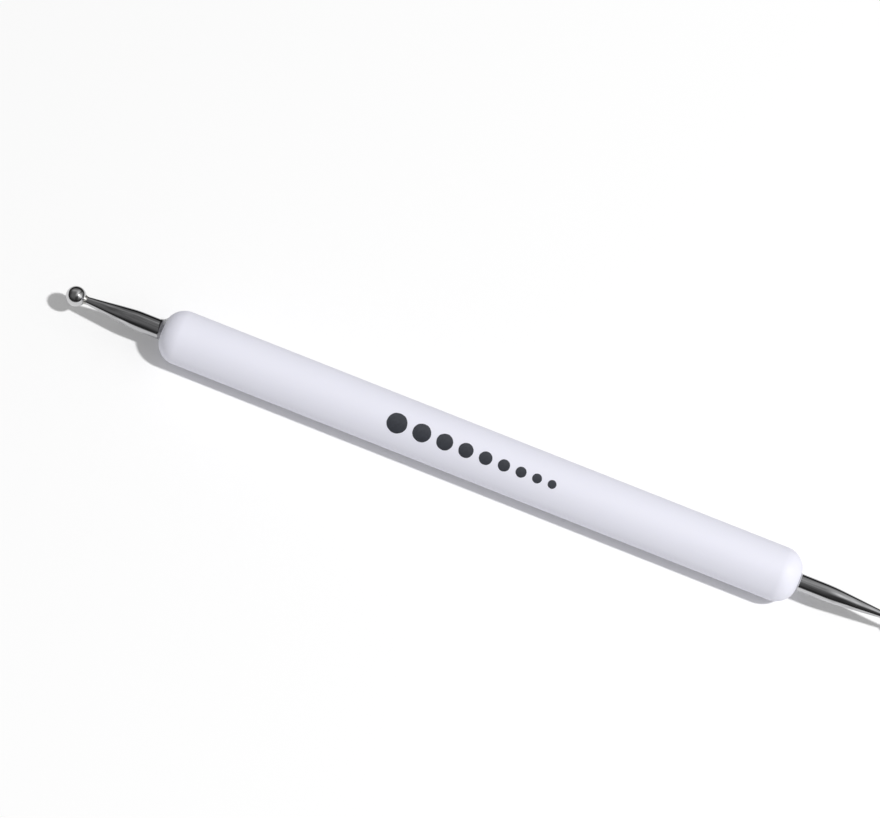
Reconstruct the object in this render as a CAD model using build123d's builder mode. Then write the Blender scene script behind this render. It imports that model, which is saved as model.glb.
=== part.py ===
from build123d import *
import os
from math import asin, degrees, radians, sqrt, tan

# Double-ended ball stylus for embossing and dotting. All lengths are in millimetres.
# The stylus lies along X with its large ball towards -X. It rests on z = 0 on its handle, and the
# origin is the middle of its overall length, on the ground straight below its axis.

# Handle: one moulded bar with fully rounded ends and a blind bore drilled into each end
handle_diameter = 8.0
handle_length = 98.0
handle_end_radius = 3.1
bore_mouth_chamfer = 0.35
drill_point_angle = 118.0

# Adhesive: the film between a shank and its bore, and how deep the bore runs past the shank
bond_film = 0.1
bore_spare_depth = 0.6

# Glue grooves turned around each buried shank
groove_count = 3
groove_width = 0.8
groove_depth = 0.25
groove_pitch = 3.2
groove_inset = 3.0
shank_lead_chamfer = 0.4

# Large end: a short stout taper that carries the large ball
large_shank_diameter = 2.9
large_buried_length = 14.0
large_straight_length = 4.3
large_shoulder_radius = 14.0
large_neck_diameter = 1.12
large_ball_diameter = 3.0
large_ball_reach = 13.5
large_braze_gap = 0.05
large_braze_creep = 0.14
large_braze_foot = 0.08
large_bond_creep = 0.75
large_bond_foot = 0.5

# Small end: a longer slimmer taper that carries the small ball
small_shank_diameter = 2.5
small_buried_length = 14.0
small_straight_length = 5.0
small_shoulder_radius = 28.0
small_neck_diameter = 0.56
small_ball_diameter = 1.5
small_ball_reach = 16.3
small_braze_gap = 0.03
small_braze_creep = 0.09
small_braze_foot = 0.06
small_bond_creep = 0.14
small_bond_foot = 0.22

# How far cuts run past the face they open
cut_overrun = 1.0

# Worked out from the sizes above
handle_radius = handle_diameter / 2
axis_height = handle_radius
handle_flat_radius = handle_radius - handle_end_radius
large_overhang = large_ball_reach + large_ball_diameter / 2
small_overhang = small_ball_reach + small_ball_diameter / 2
overall_length = large_overhang + handle_length + small_overhang
large_face_x = large_overhang - overall_length / 2
small_face_x = large_face_x + handle_length
stylus_axis = Axis((0, 0, axis_height), (1, 0, 0))


def end_plane(face_x, outward):
    """Half-section plane of one end: local x runs outward from the handle's end face at
    face_x, and local y is the distance from the stylus axis."""
    return Plane(origin=(face_x, 0, axis_height), x_dir=(outward, 0, 0), z_dir=(0, -outward, 0))


def end_recess(radius):
    """How far the rounded handle end lies behind its end face at this distance from the axis."""
    past_flat = max(radius - handle_flat_radius, 0)
    return handle_end_radius - sqrt(handle_end_radius**2 - past_flat**2)


def bore_section(shank_diameter, buried_length):
    """Blind bore with a chamfered mouth and a drill point, as a closed half-section."""
    bore_radius = shank_diameter / 2 + bond_film
    bore_depth = buried_length + bore_spare_depth
    point_length = bore_radius / tan(radians(drill_point_angle / 2))
    mouth_radius = bore_radius + bore_mouth_chamfer
    Polyline(
        (cut_overrun, 0),
        (cut_overrun, mouth_radius + cut_overrun),
        (-bore_mouth_chamfer, bore_radius),
        (-bore_depth, bore_radius),
        (-bore_depth - point_length, 0),
        close=True,
    )


def make_stem(plane, shank_diameter, buried_length, straight_length, shoulder_radius,
              neck_diameter, stem_reach):
    """Turned metal stem: a grooved shank for the bore, a straight part and a softened taper."""
    shank_radius = shank_diameter / 2
    with BuildPart() as stem:
        with BuildSketch(plane) as section:
            with BuildLine():
                Polyline(
                    (-buried_length, 0),
                    (-buried_length, shank_radius - shank_lead_chamfer),
                    (shank_lead_chamfer - buried_length, shank_radius),
                    (straight_length, shank_radius),
                    (stem_reach, neck_diameter / 2),
                    (stem_reach, 0),
                    close=True,
                )
            make_face()
            shoulder = section.vertices().sort_by_distance((straight_length, shank_radius))[0]
            fillet(shoulder, radius=shoulder_radius)
            groove_middle = groove_inset + groove_pitch * (groove_count - 1) / 2 - buried_length
            with Locations((groove_middle, shank_radius)):
                with GridLocations(groove_pitch, 0, groove_count, 1):
                    Rectangle(groove_width, 2 * groove_depth, mode=Mode.SUBTRACT)
        revolve(axis=stylus_axis)
    return stem.part


def make_braze(plane, stem_reach, neck_radius, taper_slope, creep, foot, ball_reach,
               ball_radius):
    """Solder joint: it fills the gap between the stem's flat end and the ball, and runs out
    over both as a short collar round the neck."""
    on_stem = (stem_reach - creep, neck_radius + creep * taper_slope)
    foot_radius = neck_radius + foot
    on_ball = (ball_reach - sqrt(ball_radius**2 - foot_radius**2), foot_radius)
    wetting_angle = degrees(asin(foot_radius / ball_radius))
    with BuildPart() as braze:
        with BuildSketch(plane):
            with BuildLine():
                Polyline((ball_reach - ball_radius, 0), (stem_reach, 0),
                         (stem_reach, neck_radius), on_stem, on_ball)
                CenterArc((ball_reach, 0), ball_radius, 180 - wetting_angle, wetting_angle)
            make_face()
        revolve(axis=stylus_axis)
    return braze.part


def make_bond(plane, shank_radius, buried_length, creep, foot, neighbours):
    """Cured adhesive: a thin sleeve between shank and bore that fills the glue grooves and
    ends in a hollow fillet at the bore's mouth."""
    foot_radius = shank_radius + foot
    on_handle = (-end_recess(foot_radius), foot_radius)
    on_stem = (creep, shank_radius)
    with BuildPart() as bond:
        with BuildSketch(plane):
            with BuildLine():
                Polyline(
                    on_stem,
                    (creep, shank_radius - groove_depth),
                    (-buried_length, shank_radius - groove_depth),
                    (-buried_length, foot_radius),
                    on_handle,
                )
                TangentArc(on_stem, on_handle, tangent=(-1, 0))
            make_face()
        revolve(axis=stylus_axis)
        for neighbour in neighbours:
            add(neighbour, mode=Mode.SUBTRACT)
    return bond.part


def make_ball(plane, ball_reach, ball_radius):
    """Polished bearing ball on the stylus axis."""
    with BuildPart() as ball:
        with Locations(plane.from_local_coords((ball_reach, 0, 0))):
            Sphere(ball_radius)
    return ball.part


# Planes of the two ends
large_plane = end_plane(large_face_x, -1)
small_plane = end_plane(small_face_x, 1)

# Handle
with BuildPart() as handle:
    with BuildSketch(Plane.YZ.offset(large_face_x)):
        with Locations((0, axis_height)):
            Circle(handle_radius)
    extrude(amount=handle_length)
    fillet(handle.edges().filter_by(GeomType.CIRCLE), radius=handle_end_radius)
    with BuildSketch(large_plane):
        with BuildLine():
            bore_section(large_shank_diameter, large_buried_length)
        make_face()
    revolve(axis=stylus_axis, mode=Mode.SUBTRACT)
    with BuildSketch(small_plane):
        with BuildLine():
            bore_section(small_shank_diameter, small_buried_length)
        make_face()
    revolve(axis=stylus_axis, mode=Mode.SUBTRACT)

# Large end
large_stem_reach = large_ball_reach - large_ball_diameter / 2 - large_braze_gap
large_taper_length = large_stem_reach - large_straight_length
large_taper_slope = (large_shank_diameter - large_neck_diameter) / 2 / large_taper_length
large_stem = make_stem(large_plane, large_shank_diameter, large_buried_length,
                       large_straight_length, large_shoulder_radius, large_neck_diameter,
                       large_stem_reach)
large_ball = make_ball(large_plane, large_ball_reach, large_ball_diameter / 2)
large_braze = make_braze(large_plane, large_stem_reach, large_neck_diameter / 2,
                         large_taper_slope, large_braze_creep, large_braze_foot,
                         large_ball_reach, large_ball_diameter / 2)
large_bond = make_bond(large_plane, large_shank_diameter / 2, large_buried_length,
                       large_bond_creep, large_bond_foot, (handle.part, large_stem))

# Small end
small_stem_reach = small_ball_reach - small_ball_diameter / 2 - small_braze_gap
small_taper_length = small_stem_reach - small_straight_length
small_taper_slope = (small_shank_diameter - small_neck_diameter) / 2 / small_taper_length
small_stem = make_stem(small_plane, small_shank_diameter, small_buried_length,
                       small_straight_length, small_shoulder_radius, small_neck_diameter,
                       small_stem_reach)
small_ball = make_ball(small_plane, small_ball_reach, small_ball_diameter / 2)
small_braze = make_braze(small_plane, small_stem_reach, small_neck_diameter / 2,
                         small_taper_slope, small_braze_creep, small_braze_foot,
                         small_ball_reach, small_ball_diameter / 2)
small_bond = make_bond(small_plane, small_shank_diameter / 2, small_buried_length,
                       small_bond_creep, small_bond_foot, (handle.part, small_stem))

# One file for each piece
os.makedirs("parts", exist_ok=True)
pieces = {
    "handle": handle.part,
    "large_stem": large_stem,
    "large_ball": large_ball,
    "large_braze": large_braze,
    "large_bond": large_bond,
    "small_stem": small_stem,
    "small_ball": small_ball,
    "small_braze": small_braze,
    "small_bond": small_bond,
}
for name, piece in pieces.items():
    piece.label = name
    export_step(piece, f"parts/{name}.step")
    print(name, "volume", round(piece.volume, 3), "mm3")
print("overall length", round(overall_length, 3), "mm")
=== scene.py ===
# %% [markdown]
# # A double-ended embossing stylus
#
# The stylus is a round plastic handle with a polished steel point glued into each end. A large
# ball is soldered on the left point and a small one on the right point. This lesson dresses the
# imported CAD model in Blender. It loads the model first, so that every piece made later sits where
# the CAD says, and it prints the length of each CAD node that a turned piece stands for. Blender
# works in metres here, and MM is a millimetre in them.

# %% Load the frame
from math import asin, atan, cos, pi, radians, sin, sqrt, tan

import bmesh
import bpy
from mathutils import Matrix, Vector


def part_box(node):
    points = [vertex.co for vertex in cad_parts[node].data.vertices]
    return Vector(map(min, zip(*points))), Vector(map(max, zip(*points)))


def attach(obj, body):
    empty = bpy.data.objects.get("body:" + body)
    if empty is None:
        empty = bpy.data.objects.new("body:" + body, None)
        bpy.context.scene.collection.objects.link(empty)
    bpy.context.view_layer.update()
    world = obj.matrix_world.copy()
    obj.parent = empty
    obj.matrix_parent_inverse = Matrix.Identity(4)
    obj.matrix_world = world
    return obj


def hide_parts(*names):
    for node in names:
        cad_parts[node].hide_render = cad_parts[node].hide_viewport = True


MM = 0.001

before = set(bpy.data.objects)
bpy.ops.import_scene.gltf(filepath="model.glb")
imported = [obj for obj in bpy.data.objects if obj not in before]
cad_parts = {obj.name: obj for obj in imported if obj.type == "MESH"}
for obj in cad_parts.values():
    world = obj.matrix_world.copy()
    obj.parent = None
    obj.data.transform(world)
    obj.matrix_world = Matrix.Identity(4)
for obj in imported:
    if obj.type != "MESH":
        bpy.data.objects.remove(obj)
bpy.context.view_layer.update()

# %% [markdown]
# ## Sizes
#
# The stylus is easier to think of in millimetres than in metres. So every size below is in
# millimetres, and MM turns it into metres where a mesh, a pattern or a place in the scene is made.
# The sizes are the ones of the CAD model. They could be measured on the loaded nodes, but written
# out they can be read and compared. The stylus lies along X with its large ball at the left, and
# its axis runs one handle radius above the ground.

# %% Place of the handle
HANDLE_RADIUS = 4.0
LEFT_FACE, RIGHT_FACE = -50.025, 47.975
AXIS_HEIGHT = HANDLE_RADIUS
print("handle length:", round(RIGHT_FACE - LEFT_FACE, 2), "mm")

# %% [markdown]
# ## The camera
#
# The photograph looks down on the stylus at about 60 degrees, from half a metre away, and the
# stylus runs down to the right in it. A camera could be aimed with a constraint, but its roll is
# then hard to set. Here its three axes are worked out as vectors: one towards the viewer, one to
# the right and one up, and the last two are turned by the slope that the handle has in the picture.

# %% Camera
VIEW_ELEVATION = radians(60)
VIEW_SIDEWAYS = 0.061
PICTURE_SLOPE = radians(21.53)
VIEW_DISTANCE = 500.0
PICTURE_WIDTH_PX = 880
FOCAL_PX = 3490
SENSOR_WIDTH = 36.0
MIDDLE_X = -8.63
MIDDLE_RISE = 4.12

to_viewer = Vector((VIEW_SIDEWAYS, -cos(VIEW_ELEVATION), sin(VIEW_ELEVATION))).normalized()
along = Vector((1, 0, 0))
along = (along - along.dot(to_viewer) * to_viewer).normalized()
across = to_viewer.cross(along)
right = along * cos(PICTURE_SLOPE) + across * sin(PICTURE_SLOPE)
up = across * cos(PICTURE_SLOPE) - along * sin(PICTURE_SLOPE)
middle = Vector((MIDDLE_X, 0, AXIS_HEIGHT)) + MIDDLE_RISE * across

camera = bpy.data.objects.new("camera", bpy.data.cameras.new("camera"))
camera.data.sensor_width = SENSOR_WIDTH
camera.data.lens = FOCAL_PX / PICTURE_WIDTH_PX * SENSOR_WIDTH
camera.matrix_world = (Matrix.Translation((middle + VIEW_DISTANCE * to_viewer) * MM)
                       @ Matrix((right, up, to_viewer)).transposed().to_4x4())
bpy.context.scene.collection.objects.link(camera)
bpy.context.scene.camera = camera
bpy.context.scene.view_settings.view_transform = "Standard"
print("lens:", round(camera.data.lens, 1), "mm")

# %% [markdown]
# ## Colours and nodes
#
# Colours are written as the sRGB hex values that a paint program shows, and Blender wants them
# linear, so one function turns them with the curve of the sRGB standard. One more function adds a
# node to a tree: it sets the node's own options, and fills each input with a number or links it to
# another node. The options that come up again and again get names of their own.

# %% Helpers for colours and nodes
SMOOTH = {"interpolation_type": "SMOOTHSTEP"}
NUMBERS = {"data_type": "FLOAT"}
COLOURS = {"data_type": "RGBA"}
MULTIPLIED = {"data_type": "RGBA", "blend_type": "MULTIPLY"}


def linear(hex_colour):
    """Linear RGBA of an sRGB hex colour such as "EBEBF6"."""
    shares = [int(hex_colour[i:i + 2], 16) / 255 for i in (0, 2, 4)]
    return [s / 12.92 if s <= 0.04045 else ((s + 0.055) / 1.055) ** 2.4 for s in shares] + [1.0]


def add(tree, kind, options=None, **inputs):
    """Adds a node. An input is named by its own name with _ for a blank, or by its place with a
    leading i_. Its value is a number, a colour, another node's output, or a node, which stands
    for its first output."""
    node = tree.nodes.new("ShaderNode" + kind)
    for option, value in (options or {}).items():
        setattr(node, option, value)
    for name, value in inputs.items():
        key = int(name[2:]) if name.startswith("i_") else name.replace("_", " ")
        if isinstance(value, bpy.types.Node):
            value = value.outputs[0]
        if isinstance(value, bpy.types.NodeSocket):
            tree.links.new(value, node.inputs[key])
        else:
            node.inputs[key].default_value = value
    return node


def new_finish(name):
    """A new material, and its empty node tree."""
    finish = bpy.data.materials.new(name)
    finish.use_nodes = True
    finish.node_tree.nodes.clear()
    return finish, finish.node_tree


print("linear white plastic:", [round(v, 3) for v in linear("EBEBF6")])

# %% [markdown]
# ## Floor
#
# The stylus lies on a pale table. A shadow catcher could stand in for it, but polished steel has
# to see a real table, so the floor is a large sheet with a dull white finish. A table lit by one
# lamp grows dark far from it, which would put a grey band behind the stylus in the low views. So
# the floor turns into a plain white glow further out, but only for the camera and for what shines
# or lets light through. Close by it stays dull, so it keeps the shadow. In the photograph both dark
# lines on the steel reach a little below the horizon. Nothing dark stands there in the scene, so
# the floor is painted dark for shiny surfaces alone from about 20 mm out on either side: a painted
# dark reflection.

# %% Where the floor glows
GLOW_STARTS, GLOW_WHOLE = 220.0, 600.0

floor_finish, tree = new_finish("dull_white_table")
rays = add(tree, "LightPath").outputs
seen = add(tree, "Math", {"operation": "MAXIMUM"}, i_0=rays["Is Camera Ray"],
           i_1=rays["Is Glossy Ray"])
seen = add(tree, "Math", {"operation": "MAXIMUM"}, i_0=seen, i_1=rays["Is Transmission Ray"])
place = add(tree, "TexCoord").outputs["Object"]
reach = add(tree, "VectorMath", {"operation": "LENGTH"}, i_0=place).outputs["Value"]
far = add(tree, "MapRange", SMOOTH, Value=reach, From_Min=GLOW_STARTS * MM,
          From_Max=GLOW_WHOLE * MM)
glowing = add(tree, "Math", {"operation": "MULTIPLY"}, i_0=far, i_1=seen)
print("floor glows from", GLOW_STARTS, "mm out")

# %% Painted dark reflection on the floor
# Painted reflection: for shiny surfaces only, the floor is painted dark from 14 to 24 mm out on
# either side, though nothing dark stands there.
DARK_REFLECTION_FROM, DARK_REFLECTION_FULL, DARK_REFLECTION_LEVEL = 14.0, 24.0, 0.09

side = add(tree, "SeparateXYZ", i_0=place).outputs["Y"]
away = add(tree, "Math", {"operation": "ABSOLUTE"}, i_0=side)
painted_dark_reflection = add(tree, "MapRange", SMOOTH, Value=away, From_Min=DARK_REFLECTION_FROM * MM,
           From_Max=DARK_REFLECTION_FULL * MM, To_Min=1.0, To_Max=DARK_REFLECTION_LEVEL)
painted_reflection_share = add(tree, "Mix", NUMBERS, i_0=rays["Is Glossy Ray"], i_2=1.0, i_3=painted_dark_reflection)
print("dark cards from", DARK_REFLECTION_FROM, "to", DARK_REFLECTION_FULL, "mm on")

# %% Dull white finish
WHITE = [1, 1, 1, 1]
BOUNCE_WHITE = [0.88, 0.88, 0.88, 1]

white = add(tree, "Mix", COLOURS, i_0=seen, i_6=BOUNCE_WHITE, i_7=WHITE)
shown = add(tree, "Mix", MULTIPLIED, i_0=1.0, i_6=white.outputs[2], i_7=painted_reflection_share)
dull = add(tree, "BsdfDiffuse", Color=shown.outputs[2])
glow = add(tree, "Emission", Color=WHITE, Strength=painted_reflection_share)
both = add(tree, "MixShader", i_0=glowing, i_1=dull, i_2=glow)
add(tree, "OutputMaterial", Surface=both)
print("white that bounces off the floor:", BOUNCE_WHITE[0])

# %% Sheet
FLOOR_HALF = 4000.0

half = FLOOR_HALF * MM
corners = [(-half, -half, 0), (half, -half, 0), (half, half, 0), (-half, half, 0)]
floor_mesh = bpy.data.meshes.new("floor")
floor_mesh.from_pydata(corners, [], [(0, 1, 2, 3)])
floor_mesh.materials.append(floor_finish)
floor = bpy.data.objects.new("floor", floor_mesh)
bpy.context.scene.collection.objects.link(floor)
print("floor half width:", FLOOR_HALF, "mm")

# %% [markdown]
# ## Lamp
#
# One soft lamp stands high on the right. A sun lamp would light the stylus about as evenly, but a
# disc at a real distance is closer to what stands in a studio. The lamp gives 0.61 of a white
# floor's brightness and the room 0.39, which is the share of the light that reaches the shadows in
# the picture. So a white floor renders white, and a colour renders about as it is written. The
# lamp's power follows from its share, its distance and its slope.

# %% Lamp
TO_LAMP = Vector((0.62, -0.07, 1.0)).normalized()
LAMP_DISTANCE = 2.0
LAMP_RADIUS = 0.07
LAMP_SHARE = 0.61

lamp_data = bpy.data.lights.new("lamp", "AREA")
lamp_data.shape = "DISK"
lamp_data.size = 2 * LAMP_RADIUS
lamp_data.energy = LAMP_SHARE / TO_LAMP.z * (pi * LAMP_DISTANCE) ** 2
lamp = bpy.data.objects.new("lamp", lamp_data)
lamp.location = TO_LAMP * LAMP_DISTANCE
lamp.rotation_euler = TO_LAMP.to_track_quat("Z", "Y").to_euler()
bpy.context.scene.collection.objects.link(lamp)
print("lamp power:", round(lamp_data.energy, 1), "W")

# %% [markdown]
# ## Room
#
# Polished steel shows the room itself. A picture of a studio could stand round the stylus, but a
# drawn room needs no file, and each streak can be put where the steel shows it. It has dark walls
# and a grey ceiling with a light strip overhead that gets wider and brighter towards the lamp. The
# levels are ramps over the angle that sweeps from the front over the top to the back, in degrees,
# and they draw the long streaks that the points show. Five ramps follow each other along X, because
# the left point shows the left of the room and the right one the right, and a ball shows all of it,
# from the dark left wall to the bright side under the lamp. Only shiny surfaces see these levels.
# Dull ones get an even light, and the camera and clear surfaces see white. Each ramp turns into the
# next one over a stretch of X, and walls close the room at its two ends and at the bottom.

# %% Light strips
LEFT_STRIP = [(0, 0.02), (14, 0.05), (30, 0.13), (50, 0.17), (80, 0.17), (96, 0.20),
              (108, 0.27), (118, 0.52), (125, 0.42), (133, 0.30), (148, 0.23), (157, 0.03),
              (180, 0.01)]
MIDDLE_STRIP = [(0, 0.02), (20, 0.09), (46, 0.13), (60, 0.20), (72, 0.29), (85, 0.36),
                (99, 0.41), (113, 0.58), (128, 0.54), (143, 0.33), (156, 0.14), (165, 0.03),
                (180, 0.01)]
RIGHT_STRIP = [(0, 0.02), (54, 0.08), (70, 0.36), (87, 0.87), (104, 1.0), (123, 0.7),
               (144, 0.42), (158, 0.08), (180, 0.01)]
FAR_RIGHT_STRIP = [(0, 0.02), (58, 0.08), (74, 0.35), (83, 1.1), (93, 1.2), (103, 0.6),
                   (122, 0.3), (150, 0.1), (180, 0.01)]
LAMP_SIDE_STRIP = [(0, 0.06), (12, 0.1), (32, 0.14), (50, 0.3), (62, 0.6), (76, 1.35),
                   (88, 1.35), (104, 1.0), (122, 0.6), (140, 0.3), (165, 0.3), (180, 0.2)]
STRIPS = [LEFT_STRIP, MIDDLE_STRIP, RIGHT_STRIP, FAR_RIGHT_STRIP, LAMP_SIDE_STRIP]
print("light strips:", len(STRIPS))

# %% Sweep of the room
world = bpy.data.worlds.new("room")
world.use_nodes = True
world.cycles.sampling_method = "NONE"
tree = world.node_tree
tree.nodes.clear()
way = add(tree, "TexCoord").outputs["Generated"]
ways = add(tree, "SeparateXYZ", i_0=way).outputs
to_front = add(tree, "Math", {"operation": "MULTIPLY"}, i_0=ways["Y"], i_1=-1.0)
sweep = add(tree, "Math", {"operation": "ARCTAN2"}, i_0=ways["Z"], i_1=to_front)
share = add(tree, "MapRange", Value=sweep, From_Max=pi)

HALF_TURN = 180
ramps = []
for levels in STRIPS:
    ramp = add(tree, "ValToRGB", i_0=share)
    stops = ramp.color_ramp.elements
    stops.remove(stops[1])
    for number, (angle, level) in enumerate(levels):
        stop = stops.new(angle / HALF_TURN) if number else stops[0]
        stop.position, stop.color = angle / HALF_TURN, [level] * 3 + [1]
    ramps.append(ramp)
print("stops on the ramps:", [len(ramp.color_ramp.elements) for ramp in ramps])

# %% Strips and walls together
STRIP_TURNS = [(-0.12, 0.05), (0.06, 0.24), (0.3, 0.5), (0.5, 0.68)]
STRIP_END, ROOM_END = 0.9, 1.02
LEFT_WALL, LEFT_CEILING, LEFT_LEVEL = -1.0, -0.55, 0.04
WALL_LEVEL, WALL_TOP = 0.02, 0.3
SO_FAR = None

# Each turn-over: its axis, where it starts and ends, and the levels before and after it, where
# SO_FAR stands for all that the earlier ones have drawn
turn_overs = [("X", low, high, SO_FAR, ramp) for (low, high), ramp in zip(STRIP_TURNS, ramps[1:])]
turn_overs += [("X", STRIP_END, ROOM_END, SO_FAR, WALL_LEVEL),
               ("X", LEFT_WALL, LEFT_CEILING, LEFT_LEVEL, SO_FAR),
               ("Z", 0, WALL_TOP, WALL_LEVEL, SO_FAR)]
studio = ramps[0]
for axis, low, high, before, after in turn_overs:
    passed = add(tree, "MapRange", SMOOTH, Value=ways[axis], From_Min=low, From_Max=high)
    studio = add(tree, "Mix", NUMBERS, i_0=passed, i_2=studio if before is SO_FAR else before,
                 i_3=studio if after is SO_FAR else after)
print("turn-overs:", len(turn_overs))

# %% World
ROOM_SHARE = 0.39

rays = add(tree, "LightPath").outputs
shiny = add(tree, "Mix", NUMBERS, i_0=rays["Is Glossy Ray"], i_2=ROOM_SHARE, i_3=studio)
clear = add(tree, "Math", {"operation": "MAXIMUM"}, i_0=rays["Is Camera Ray"],
            i_1=rays["Is Transmission Ray"])
level = add(tree, "Mix", NUMBERS, i_0=clear, i_2=shiny, i_3=1.0)
background = add(tree, "Background", Color=WHITE, Strength=level)
add(tree, "OutputWorld", Surface=background)
bpy.context.scene.world = world
print("room's share of the light:", ROOM_SHARE)

# %% [markdown]
# ## White ABS for the handle
#
# The handle is white ABS, moulded in a fine spark-eroded mould, so it has a satin skin: a broad
# soft highlight and no sharp reflection. The pellets carry a little violet toner, as white plastic
# often does, and light goes a short way into the skin, which softens the edge of the shade. A
# picture texture could carry the mould grain, but a noise has no seam on a round bar. Real grain of
# this kind is about 0.03 mm, which is a fifth of a pixel here, so it is drawn at 0.25 mm and kept
# shallow. Handling leaves slightly glossier patches about 9 mm wide, and the tone drifts by one per
# cent over some centimetres, as the flow of the melt leaves it. A noise has most of its values
# between 0.3 and 0.7, so those two are where a range over it starts and ends.

# %% Patches and tone of the plastic
NOISE_LOW, NOISE_HIGH = 0.3, 0.7
ABS_WHITE, ABS_ROUGHNESS = "EBEBF6", 0.6
PATCH_SIZE, PATCH_SPREAD = 9.0, 0.05
TONE_SIZE, TONE_SPREAD = 26.0, 0.012

white_abs, tree = new_finish("white_abs_satin_moulded")
place = add(tree, "TexCoord").outputs["Object"]
patches = add(tree, "TexNoise", Vector=place, Scale=1 / (PATCH_SIZE * MM), Detail=3.0)
roughness = add(tree, "MapRange", Value=patches, From_Min=NOISE_LOW, From_Max=NOISE_HIGH,
                To_Min=ABS_ROUGHNESS - PATCH_SPREAD, To_Max=ABS_ROUGHNESS + PATCH_SPREAD)
tones = add(tree, "TexNoise", Vector=place, Scale=1 / (TONE_SIZE * MM), Detail=2.0)
tone = add(tree, "MapRange", Value=tones, From_Min=NOISE_LOW, From_Max=NOISE_HIGH,
           To_Min=1 - TONE_SPREAD, To_Max=1.0)
colour = add(tree, "Mix", MULTIPLIED, i_0=1.0, i_6=linear(ABS_WHITE), i_7=tone)
print("patch scale:", round(1 / (PATCH_SIZE * MM)), "cells per metre")

# %% White ABS
ABS_IOR = 1.54
GRAIN_SIZE, GRAIN_DEPTH = 0.25, 0.004
SKIN_SHARE, SKIN_DEPTH, SKIN_RADII = 0.12, 0.6, [1.0, 1.0, 1.1]

grain = add(tree, "TexNoise", Vector=place, Scale=1 / (GRAIN_SIZE * MM), Detail=2.0)
bump = add(tree, "Bump", Height=grain, Distance=GRAIN_DEPTH * MM, Strength=1.0)
plastic = add(tree, "BsdfPrincipled", Base_Color=colour.outputs[2], Roughness=roughness,
              IOR=ABS_IOR, Subsurface_Weight=SKIN_SHARE, Subsurface_Radius=SKIN_RADII,
              Subsurface_Scale=SKIN_DEPTH * MM, Normal=bump)
add(tree, "OutputMaterial", Surface=plastic)
print("grain scale:", round(1 / (GRAIN_SIZE * MM)), "cells per metre")

# %% [markdown]
# ## Polished steel for the points
#
# Each point is stainless steel, turned to a taper and polished while it spins. Polishing leaves
# faint rings round the axis, so a reflection stays sharp round the point and smears along it. The
# shader's own anisotropy would smear it too, but shows no single ring, so the rings are a bump: a
# noise that changes almost only along X. Real ones are about 0.02 mm apart, and they are drawn
# 0.12 mm apart, so that they show. Fingers leave some places duller than others. Drawing the rod
# through its die left faint grey lines along the point too: a noise that hardly changes along X
# gives the steel a slightly uneven tone. Real ones are some hundredths of a millimetre apart, and
# they are drawn about 0.4 mm apart for the same reason.

# %% Polishing rings and dull places
RING_PITCH, RING_DEPTH, RING_STRETCH = 0.12, 0.0012, 0.02
STEEL_SMOOTHEST, STEEL_ROUGHEST = 0.06, 0.13
SMEAR_SIZE = 1.5

polished_steel, tree = new_finish("stainless_steel_turned_polished")
place = add(tree, "TexCoord").outputs["Object"]
stretched = add(tree, "Mapping", Vector=place, Scale=[1, RING_STRETCH, RING_STRETCH])
rings = add(tree, "TexNoise", Vector=stretched, Scale=1 / (RING_PITCH * MM), Detail=2.0)
bump = add(tree, "Bump", Height=rings, Distance=RING_DEPTH * MM, Strength=1.0)
smears = add(tree, "TexNoise", Vector=place, Scale=1 / (SMEAR_SIZE * MM), Detail=2.0)
roughness = add(tree, "MapRange", Value=smears, From_Min=NOISE_LOW, From_Max=NOISE_HIGH,
                To_Min=STEEL_SMOOTHEST, To_Max=STEEL_ROUGHEST)
print("ring scale:", round(1 / (RING_PITCH * MM)), "per metre")

# %% Polished steel
STEEL_GREY = "C4C4C6"
LINE_PITCH, LINE_STRETCH = 0.42, 0.05
LINE_LOW, LINE_HIGH = 0.35, 0.65
LINE_DARK, LINE_BRIGHT = 0.6, 1.15

drawn = add(tree, "Mapping", Vector=place, Scale=[LINE_STRETCH, 1, 1])
lines = add(tree, "TexNoise", Vector=drawn, Scale=1 / (LINE_PITCH * MM), Detail=4.0,
            Roughness=0.6)
tone = add(tree, "MapRange", Value=lines, From_Min=LINE_LOW, From_Max=LINE_HIGH,
           To_Min=LINE_DARK, To_Max=LINE_BRIGHT)
colour = add(tree, "Mix", MULTIPLIED, i_0=1.0, i_6=linear(STEEL_GREY), i_7=tone)
steel = add(tree, "BsdfPrincipled", Base_Color=colour.outputs[2], Metallic=1.0,
            Roughness=roughness, Normal=bump)
add(tree, "OutputMaterial", Surface=steel)
print("line scale:", round(1 / (LINE_PITCH * MM)), "per metre")

# %% [markdown]
# ## Ball steel
#
# The balls are bearing balls of hard chrome steel, lapped to a mirror. They are the shiniest part
# of the tool. Use on paper and foil leaves hairline scratches in all directions, about 0.01 mm
# wide, which is too fine to show, so they are drawn at 0.2 mm. They could be bumps, but they only
# dull the mirror a little, so a noise changes the roughness alone.

# %% Ball steel
BALL_GREY = "C8C8C9"
BALL_SMOOTHEST, BALL_ROUGHEST = 0.06, 0.12
HAIRLINE_SIZE = 0.2
HAIRLINE_LOW, HAIRLINE_HIGH = 0.35, 0.65

lapped_steel, tree = new_finish("bearing_steel_lapped")
place = add(tree, "TexCoord").outputs["Object"]
hairlines = add(tree, "TexNoise", Vector=place, Scale=1 / (HAIRLINE_SIZE * MM), Detail=4.0)
roughness = add(tree, "MapRange", Value=hairlines, From_Min=HAIRLINE_LOW,
                From_Max=HAIRLINE_HIGH, To_Min=BALL_SMOOTHEST, To_Max=BALL_ROUGHEST)
steel = add(tree, "BsdfPrincipled", Base_Color=linear(BALL_GREY), Metallic=1.0,
            Roughness=roughness)
add(tree, "OutputMaterial", Surface=steel)
print("ball roughness:", BALL_SMOOTHEST, "to", BALL_ROUGHEST)

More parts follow.
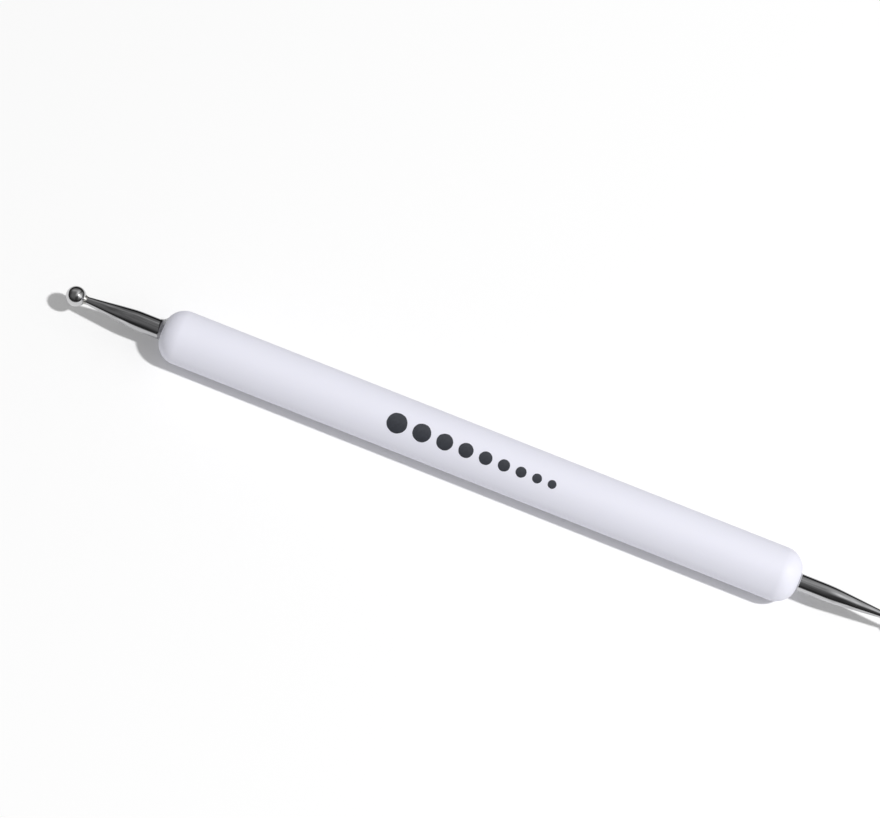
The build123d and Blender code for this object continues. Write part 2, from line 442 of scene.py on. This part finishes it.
# %% [markdown]
# ## Silver solder
#
# Silver solder runs round the neck under each ball. It looks softer than steel, because it froze
# from a melt and was only wiped. A rough metal alone would look like sand-blasted steel, so a slow
# noise also bends its skin into the ripples of a melt.

# %% Silver solder
SOLDER_GREY = "B4B3B0"
SOLDER_ROUGHNESS = 0.42
RIPPLE_SIZE, RIPPLE_DEPTH = 0.45, 0.09

silver_solder, tree = new_finish("silver_solder_frozen")
place = add(tree, "TexCoord").outputs["Object"]
ripples = add(tree, "TexNoise", Vector=place, Scale=1 / (RIPPLE_SIZE * MM), Detail=1.0)
bump = add(tree, "Bump", Height=ripples, Distance=RIPPLE_DEPTH * MM, Strength=1.0)
metal = add(tree, "BsdfPrincipled", Base_Color=linear(SOLDER_GREY), Metallic=1.0,
            Roughness=SOLDER_ROUGHNESS, Normal=bump)
add(tree, "OutputMaterial", Surface=metal)
print("solder ripples:", RIPPLE_SIZE, "mm")

# %% [markdown]
# ## Cured epoxy
#
# The points are held by a two-part epoxy, which cures to a clear grey glassy rim where it was
# pressed out of the bore. It could be clear glass, but small bubbles and polishing dust cloud it,
# so most of its look is a grey body and the rest is clear. On the left rim, which lies in the
# lamp's shade, that grey also stands for painted shade. Where the epoxy is thin the white of the
# handle shows through, so its colour turns paler over its foot. It is also painted paler towards
# the right end, where the lamp lights the rim, which is painted light. The left rim's thin edge
# where it meets the point is painted darker into a dark line, which is painted shade.

# %% Colour of the epoxy
# The grey also stands for painted shade on the left rim; the pale colour is for thin epoxy over the
# handle and for painted light on the lit right rim.
EPOXY_GREY, EPOXY_PALE_THIN_AND_LIT = "A9A9B0", "DCDCE6"
CLOUD_SIZE, CLOUD_DARK = 0.8, 0.75
THINS_FROM, THINS_TO = 1.85, 2.7
# Painted shade: where the dark line along the left rim's thin edge starts and ends, and how dark it
# gets.
SHADE_LINE_FROM, SHADE_LINE_TO, SHADE_LINE_LEVEL = 0.42, 0.2, 0.06

cured_epoxy, tree = new_finish("epoxy_clear_cured")
place = add(tree, "TexCoord").outputs["Object"]
clouds = add(tree, "TexNoise", Vector=place, Scale=1 / (CLOUD_SIZE * MM), Detail=3.0)
tone = add(tree, "MapRange", Value=clouds, From_Min=NOISE_LOW, From_Max=NOISE_HIGH,
           To_Min=CLOUD_DARK)
along_point = add(tree, "SeparateXYZ", i_0=place).outputs["X"]
from_axis = add(tree, "VectorMath", {"operation": "SUBTRACT"}, i_0=place,
                i_1=[0, 0, AXIS_HEIGHT * MM])
from_axis = add(tree, "VectorMath", {"operation": "MULTIPLY"}, i_0=from_axis, i_1=[0, 1, 1])
from_axis = add(tree, "VectorMath", {"operation": "LENGTH"}, i_0=from_axis).outputs["Value"]
outer = add(tree, "MapRange", Value=from_axis, From_Min=THINS_FROM * MM, From_Max=THINS_TO * MM)
# Painted light: the rim on the right, where the lamp falls, is painted paler than the shaded left
# one.
right_end = add(tree, "MapRange", Value=along_point, From_Min=LEFT_FACE * MM,
                From_Max=RIGHT_FACE * MM)
thin_and_lit_share = add(tree, "Math", {"operation": "MAXIMUM"}, i_0=outer, i_1=right_end)
body = add(tree, "Mix", COLOURS, i_0=thin_and_lit_share, i_6=linear(EPOXY_GREY), i_7=linear(EPOXY_PALE_THIN_AND_LIT))
cloudy = add(tree, "Mix", MULTIPLIED, i_0=1.0, i_6=body.outputs[2], i_7=tone)
# Painted shade: a dark line where the thin edge of the left rim meets the point.
painted_shade = add(tree, "MapRange", SMOOTH, Value=along_point, From_Min=(LEFT_FACE - SHADE_LINE_FROM) * MM,
           From_Max=(LEFT_FACE - SHADE_LINE_TO) * MM, To_Min=SHADE_LINE_LEVEL)
colour = add(tree, "Mix", MULTIPLIED, i_0=1.0, i_6=cloudy.outputs[2], i_7=painted_shade)
print("dirt line:", round(SHADE_LINE_FROM - SHADE_LINE_TO, 2), "mm wide")

# %% Cured epoxy
EPOXY_IOR, EPOXY_ROUGHNESS, EPOXY_CLEAR = 1.55, 0.08, 0.3
WIPE_DEPTH = 0.03

bump = add(tree, "Bump", Height=clouds, Distance=WIPE_DEPTH * MM, Strength=1.0)
resin = add(tree, "BsdfPrincipled", Base_Color=colour.outputs[2], Roughness=EPOXY_ROUGHNESS,
            IOR=EPOXY_IOR, Transmission_Weight=EPOXY_CLEAR, Normal=bump)
add(tree, "OutputMaterial", Surface=resin)
print("epoxy IOR:", EPOXY_IOR)

# %% [markdown]
# ## Turning a piece
#
# Everything on the stylus is round about one axis, so a lathe is the natural tool. Blender's
# Screw modifier could spin an outline, but plain mesh code keeps the points that lie on the axis
# as single points and gives the same mesh each time. An outline is a list of places along the
# axis, each with its radius, in millimetres.

# %% From mesh code to an object
CREASE = radians(28)


def to_object(shape, name, finish):
    """Turns mesh code into an object that is smooth but for its sharp edges."""
    bmesh.ops.recalc_face_normals(shape, faces=shape.faces)
    mesh = bpy.data.meshes.new(name)
    shape.to_mesh(mesh)
    shape.free()
    mesh.materials.append(finish)
    mesh.shade_smooth()
    mesh.set_sharp_from_angle(angle=CREASE)
    piece = bpy.data.objects.new(name, mesh)
    bpy.context.scene.collection.objects.link(piece)
    print(name, len(mesh.vertices), "points")
    return piece


print("edges stay sharp from", round(CREASE * 180 / pi), "degrees")

# %% Lathe
TURN_STEPS = 180
ON_AXIS = 1e-6


def turn(name, outline, finish, node, closed=False, swell=None):
    """Turns an outline of (x, radius) points round the stylus axis into a piece that stands for
    a CAD node. swell(x, radius, angle) may give each point another x and radius."""
    shape = bmesh.new()
    rings = []
    for x, radius in outline:
        steps = 1 if radius < ON_AXIS else TURN_STEPS
        ring = []
        for step in range(steps):
            angle = 2 * pi * step / TURN_STEPS
            spot_x, spot_radius = swell(x, radius, angle) if swell else (x, radius)
            ring.append(shape.verts.new((spot_x * MM, spot_radius * cos(angle) * MM,
                                         (AXIS_HEIGHT + spot_radius * sin(angle)) * MM)))
        rings.append(ring)
    followers = rings[1:] + (rings[:1] if closed else [])
    for ring, follower in zip(rings, followers):
        for step in range(TURN_STEPS):
            after = (step + 1) % TURN_STEPS
            around = [(ring, step), (ring, after), (follower, after), (follower, step)]
            corners = [points[spot % len(points)] for points, spot in around]
            shape.faces.new(list(dict.fromkeys(corners)))
    piece = to_object(shape, name, finish)
    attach(piece, "root")
    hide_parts(node)
    low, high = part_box(node)
    print(name, "is", round((high.x - low.x) / MM, 2), "mm long in the CAD")


print("facet:", 360 / TURN_STEPS, "degrees")


# %% Arc
def arc(middle_x, middle_radius, radius, start, end, count):
    """Points of an arc in the half-section, its angles from +X towards larger radii."""
    turns = [start + (end - start) * step / count for step in range(count + 1)]
    return [(middle_x + radius * cos(a), middle_radius + radius * sin(a)) for a in turns]


print("points of a quarter arc:", arc(0, 0, 1, 0, pi / 2, 2))

# %% [markdown]
# ## Handle
#
# The handle is one straight bar with fully rounded ends. A cylinder with a bevel would look the
# same from outside, but the real bar has a bore for each point. So each end is an arc that runs
# into the chamfered mouth of its bore, and the bore goes on inside to its drill point, and the mesh
# is one closed skin. The straight part gets a few extra rings, which keep its shading flat next to
# the rounded ends.

# %% End of the handle
HANDLE_END_ROUND = 3.1
FLAT_RADIUS = HANDLE_RADIUS - HANDLE_END_ROUND
BORE_DEPTH = 14.6
MOUTH_CHAMFER = 0.35
DRILL_HALF_ANGLE = radians(59)
ROUND_STEPS = 48


def handle_end(face, outward, bore_radius):
    """Outline of one end, from its drill point out of the bore and round to the straight part.
    The rounding starts where the 45-degree chamfer of the mouth meets it."""
    mouth_offset = bore_radius + MOUTH_CHAMFER - FLAT_RADIUS - HANDLE_END_ROUND
    mouth_angle = pi / 4 + asin(mouth_offset / (HANDLE_END_ROUND * sqrt(2)))
    drill_point = -BORE_DEPTH - bore_radius / tan(DRILL_HALF_ANGLE)
    bore = [(drill_point, 0), (-BORE_DEPTH, bore_radius), (-MOUTH_CHAMFER, bore_radius)]
    rounding = arc(-HANDLE_END_ROUND, FLAT_RADIUS, HANDLE_END_ROUND, mouth_angle, pi / 2,
                   ROUND_STEPS)
    return [(face + outward * x, radius) for x, radius in bore + rounding]


print("flat of the end:", round(2 * FLAT_RADIUS, 2), "mm wide")

# %% Handle
LARGE_SHANK, SMALL_SHANK = 1.45, 1.25
BORE_FILM = 0.1
STRAIGHT_RINGS = 24

left_end = handle_end(LEFT_FACE, -1, LARGE_SHANK + BORE_FILM)
right_end = handle_end(RIGHT_FACE, 1, SMALL_SHANK + BORE_FILM)
straight_from, straight_to = left_end[-1][0], right_end[-1][0]
straight = [(straight_from + (straight_to - straight_from) * ring / STRAIGHT_RINGS, HANDLE_RADIUS)
            for ring in range(1, STRAIGHT_RINGS)]
turn("handle_bar", left_end + straight + right_end[::-1], white_abs, "handle")

# %% [markdown]
# ## Points
#
# A point has a grooved shank that the adhesive grips, a straight part, and a long taper with a
# softened shoulder. A cylinder and a cone could be joined for it, but an outline holds the grooves
# and the shoulder as well. The shoulder is a large arc that touches both the straight part and the
# taper, as a hand-polished edge does.

# %% Points
SHANK_DEPTH = 14.0
GROOVES, GROOVE_WIDTH, GROOVE_DEPTH, GROOVE_PITCH, GROOVE_INSET = 3, 0.8, 0.25, 3.2, 3.0
LEAD_CHAMFER = 0.4
SHOULDER_STEPS, TAPER_RINGS = 24, 10
LARGE_POINT = {"shank": LARGE_SHANK, "straight": 4.3, "shoulder": 14.0, "neck": 0.56,
               "reach": 11.95}
SMALL_POINT = {"shank": SMALL_SHANK, "straight": 5.0, "shoulder": 28.0, "neck": 0.28,
               "reach": 15.52}


def point_outline(face, outward, shank, straight, shoulder, neck, reach):
    """Outline of one point, from the middle of its buried end to the middle of its neck."""
    buried = [(-SHANK_DEPTH, 0), (-SHANK_DEPTH, shank - LEAD_CHAMFER),
              (LEAD_CHAMFER - SHANK_DEPTH, shank)]
    for groove in range(GROOVES):
        start = GROOVE_INSET + groove * GROOVE_PITCH - GROOVE_WIDTH / 2 - SHANK_DEPTH
        end = start + GROOVE_WIDTH
        buried += [(start, shank), (start, shank - GROOVE_DEPTH),
                   (end, shank - GROOVE_DEPTH), (end, shank)]
    slope = atan((shank - neck) / (reach - straight))
    touch = shoulder * tan(slope / 2)
    bend = arc(straight - touch, shank - shoulder, shoulder, pi / 2, pi / 2 - slope,
               SHOULDER_STEPS)
    from_x, from_radius = bend[-1]
    taper = [(from_x + (reach - from_x) * ring / TAPER_RINGS,
              from_radius + (neck - from_radius) * ring / TAPER_RINGS)
             for ring in range(1, TAPER_RINGS + 1)]
    return [(face + outward * x, radius) for x, radius in buried + bend + taper + [(reach, 0)]]


turn("large_point", point_outline(LEFT_FACE, -1, **LARGE_POINT), polished_steel, "large_stem")
turn("small_point", point_outline(RIGHT_FACE, 1, **SMALL_POINT), polished_steel, "small_stem")

# %% [markdown]
# ## Balls
#
# A ball does the work: its round face presses a smooth groove into paper or clay. Blender has a
# ready-made sphere, but a ball is turned from a half circle like the rest, so its points line up
# with those of the neck and of the solder.

# %% Balls
LARGE_BALL_X, LARGE_BALL_RADIUS = -63.525, 1.5
SMALL_BALL_X, SMALL_BALL_RADIUS = 64.275, 0.75
BALL_STEPS = 90

turn("large_ball_turned", arc(LARGE_BALL_X, 0, LARGE_BALL_RADIUS, pi, 0, BALL_STEPS),
     lapped_steel, "large_ball")
turn("small_ball_turned", arc(SMALL_BALL_X, 0, SMALL_BALL_RADIUS, pi, 0, BALL_STEPS),
     lapped_steel, "small_ball")

# %% [markdown]
# ## Solder beads
#
# Molten solder climbs both surfaces and freezes as a small hollow ring. A torus would bulge where
# the real ring is hollow. So its outline is a hollow curve between the cone of the neck and the
# ball, and it is closed inside through the gap between the two, which makes the bead a solid of its
# own. Slow waves round it keep it from looking machined.

# %% Curves that are not machined
def hollow(start, bend, end, steps):
    """Points of a smooth curve from start to end that is drawn towards a bend point."""
    return [tuple((1 - t) ** 2 * a + 2 * t * (1 - t) * b + t ** 2 * c
                  for a, b, c in zip(start, bend, end))
            for t in (step / steps for step in range(steps + 1))]


def waves(angle, parts):
    """Sum of waves round a piece. Each has a depth, a count for one round, and a shift."""
    return sum(depth * sin(count * angle + shift) for depth, count, shift in parts)


print("halfway on a hollow curve:", hollow((0, 1), (0, 0), (1, 0), 2)[1])

# %% Solder beads
BEAD_STEPS, BALL_SIDE_STEPS = 10, 6
BEAD_WAIST = 0.25
BEAD_WAVES = [(0.02, 2, 0.7), (0.012, 5, 0)]
LARGE_BEAD = {"gap": 0.05, "creep": 0.2, "foot": 0.14}
SMALL_BEAD = {"gap": 0.03, "creep": 0.12, "foot": 0.08}


def bead_outline(ball_x, ball_radius, toward_handle, point, gap, creep, foot):
    """Closed outline of a solder bead: ball side, hollow curve and stem side."""
    neck = point["neck"]
    slope = (point["shank"] - neck) / (point["reach"] - point["straight"])
    foot_angle = asin((neck + foot) / ball_radius)
    on_ball = (ball_x + toward_handle * ball_radius * cos(foot_angle), neck + foot)
    stem_end = ball_x + toward_handle * (ball_radius + gap)
    on_stem = (stem_end + toward_handle * creep, neck + creep * slope)
    waist = ((on_ball[0] + on_stem[0]) / 2, neck + BEAD_WAIST * foot)
    ball_side = [(ball_x + toward_handle * ball_radius * cos(a), ball_radius * sin(a))
                 for a in (foot_angle * step / BALL_SIDE_STEPS for step in range(BALL_SIDE_STEPS))]
    stem_side = [(stem_end, neck), (stem_end, 0)]
    return ball_side + hollow(on_ball, waist, on_stem, BEAD_STEPS) + stem_side


def bead_swell(x, radius, angle):
    """A frozen bead is a little thicker on some sides."""
    return x, radius * (1 + waves(angle, BEAD_WAVES))


turn("large_solder_bead",
     bead_outline(LARGE_BALL_X, LARGE_BALL_RADIUS, 1, LARGE_POINT, **LARGE_BEAD),
     silver_solder, "large_braze", swell=bead_swell)
turn("small_solder_bead",
     bead_outline(SMALL_BALL_X, SMALL_BALL_RADIUS, -1, SMALL_POINT, **SMALL_BEAD),
     silver_solder, "small_braze", swell=bead_swell)

# %% [markdown]
# ## Adhesive rims
#
# The epoxy fills the bore round the shank and stands out of its mouth as a small hollow fillet,
# and only that fillet shows. A bevel between point and handle would give an even one. The real one
# was wiped by hand, so the left one climbs the point higher on one side and spreads wider over the
# handle there, and both of its edges ripple. The right one is hardly more than a line and stays
# even.

# %% Adhesive rims
RIM_STEPS = 12
CORNER_OUT, CORNER_UP = 0.15, 0.1
LARGE_RIM = {"creep": 0.75, "foot": 0.5}
SMALL_RIM = {"creep": 0.14, "foot": 0.22}


def end_recess(radius):
    """How far the rounded end of the handle lies behind its end face."""
    past_flat = max(radius - FLAT_RADIUS, 0)
    return HANDLE_END_ROUND - sqrt(HANDLE_END_ROUND ** 2 - past_flat ** 2)


def rim_outline(face, outward, shank, creep, foot):
    """Closed outline of the adhesive: sleeve in the bore and hollow fillet outside it."""
    foot_radius = shank + foot
    on_stem, on_handle = (creep, shank), (-end_recess(foot_radius), foot_radius)
    corner = (CORNER_OUT * creep, shank + CORNER_UP * foot)
    bore = shank + BORE_FILM
    sleeve = [(-MOUTH_CHAMFER, bore), (-SHANK_DEPTH, bore), (-SHANK_DEPTH, shank)]
    return [(face + outward * x, radius)
            for x, radius in hollow(on_stem, corner, on_handle, RIM_STEPS) + sleeve]


print("handle end lies back at the left foot:",
      round(end_recess(LARGE_SHANK + LARGE_RIM["foot"]), 3), "mm")

# %% Wiped rim
WIPED_CLIMB = {"side": radians(25), "mean": 0.66, "swing": 0.32, "ripple": 0.02}
WIPED_SPREAD = {"side": radians(60), "mean": 1.1, "swing": 0.6, "ripple": 0.04}
RIPPLES_ROUND = 5


def wiped(angle, side, mean, swing, ripple):
    """A share that is largest on one side, with a few small ripples round."""
    return mean + swing * cos(angle - side) + waves(angle, [(ripple, RIPPLES_ROUND, 0)])


def left_rim_swell(x, radius, angle):
    """The wiped fillet climbs higher and spreads wider on one side, and the sleeve stays round."""
    height = LEFT_FACE - x + end_recess(radius)
    if height < -ON_AXIS or radius < LARGE_SHANK:
        return x, radius
    spot_radius = LARGE_SHANK + (radius - LARGE_SHANK) * wiped(angle, **WIPED_SPREAD)
    spot_height = height * wiped(angle, **WIPED_CLIMB)
    return LEFT_FACE + end_recess(spot_radius) - spot_height, spot_radius


turn("large_adhesive_rim", rim_outline(LEFT_FACE, -1, LARGE_SHANK, **LARGE_RIM), cured_epoxy,
     "large_bond", closed=True, swell=left_rim_swell)
turn("small_adhesive_rim", rim_outline(RIGHT_FACE, 1, SMALL_SHANK, **SMALL_RIM), cured_epoxy,
     "small_bond", closed=True)

# %% [markdown]
# ## Printing ink
#
# The middle of the handle is pad printed with a charcoal ink. A soft pad presses the ink on and
# leaves it a little thinner in places, so its tone is speckled by some tenths of a millimetre, and
# it dries duller than it was wet. A plain dark colour would look like a hole in the white handle.

# %% Ink
INK_CHARCOAL = "33363E"
INK_IOR, INK_ROUGHNESS = 1.5, 0.5
SPECKLE_SIZE, SPECKLE_DARK, SPECKLE_BRIGHT = 0.4, 0.82, 1.1

pad_ink, tree = new_finish("pad_printing_ink_charcoal")
place = add(tree, "TexCoord").outputs["Object"]
speckle = add(tree, "TexNoise", Vector=place, Scale=1 / (SPECKLE_SIZE * MM), Detail=3.0)
tone = add(tree, "MapRange", Value=speckle, From_Min=NOISE_LOW, From_Max=NOISE_HIGH,
           To_Min=SPECKLE_DARK, To_Max=SPECKLE_BRIGHT)
colour = add(tree, "Mix", MULTIPLIED, i_0=1.0, i_6=linear(INK_CHARCOAL), i_7=tone)
ink = add(tree, "BsdfPrincipled", Base_Color=colour.outputs[2], Roughness=INK_ROUGHNESS,
          IOR=INK_IOR)
add(tree, "OutputMaterial", Surface=ink)
print("ink speckle:", SPECKLE_SIZE, "mm")

# %% [markdown]
# ## Printed dots
#
# The print here is a plain row of dots, from the size of the large ball down to that of the small
# one. It could be painted on with a texture, but a film of its own stays sharp at any size and is
# a piece of the model like the others. Each dot is a fan of rings, bent onto the round of the
# handle and given a thickness, with an edge that wavers by some hundredths of a millimetre, as a
# soft pad leaves it.

# %% One dot
PRINT_SIDE = VIEW_ELEVATION
INK_TOP, INK_ROOT = 0.012, -0.02
DOT_STEPS, DOT_RINGS = 72, 6
DOT_WAVES = [(0.008, 5, 1), (0.005, 11, 2)]


def ink_dot(shape, middle_x, radius, number):
    """Adds one dot of ink, bent round the handle, to a mesh. The waves of its edge are shifted
    further with each dot's number."""
    edge_waves = [(depth, count, shift * number) for depth, count, shift in DOT_WAVES]

    def spot(distance, step, height):
        way = 2 * pi * step / DOT_STEPS
        wavered = distance * (1 + waves(way, edge_waves))
        round_handle = pi - PRINT_SIDE + wavered * sin(way) / HANDLE_RADIUS
        from_axis = HANDLE_RADIUS + height
        return shape.verts.new(((middle_x + wavered * cos(way)) * MM,
                                from_axis * cos(round_handle) * MM,
                                (AXIS_HEIGHT + from_axis * sin(round_handle)) * MM))

    hub = spot(0, 0, INK_TOP)
    rings = [[spot(radius * ring / DOT_RINGS, step, INK_TOP) for step in range(DOT_STEPS)]
             for ring in range(1, DOT_RINGS + 1)]
    rings.append([spot(radius, step, INK_ROOT) for step in range(DOT_STEPS)])
    under = spot(0, 0, INK_ROOT)
    for step in range(DOT_STEPS):
        after = (step + 1) % DOT_STEPS
        shape.faces.new((hub, rings[0][step], rings[0][after]))
        for inner, outer in zip(rings, rings[1:]):
            shape.faces.new((inner[step], outer[step], outer[after], inner[after]))
        shape.faces.new((rings[-1][step], under, rings[-1][after]))


print("ink stands proud by", INK_TOP, "mm")

# %% Row of dots
DOT_WIDTHS = [3.0, 2.7, 2.42, 2.17, 1.95, 1.75, 1.57, 1.41, 1.26]
DOT_GAP = 0.95
PRINT_MIDDLE = -1.93

row_length = sum(DOT_WIDTHS) + DOT_GAP * (len(DOT_WIDTHS) - 1)
edge = PRINT_MIDDLE - row_length / 2
row = bmesh.new()
for number, width in enumerate(DOT_WIDTHS):
    ink_dot(row, edge + width / 2, width / 2, number)
    edge += width + DOT_GAP
dots = to_object(row, "printed_dots", pad_ink)
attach(dots, "root")
print("row of dots:", round(row_length, 2), "mm long")
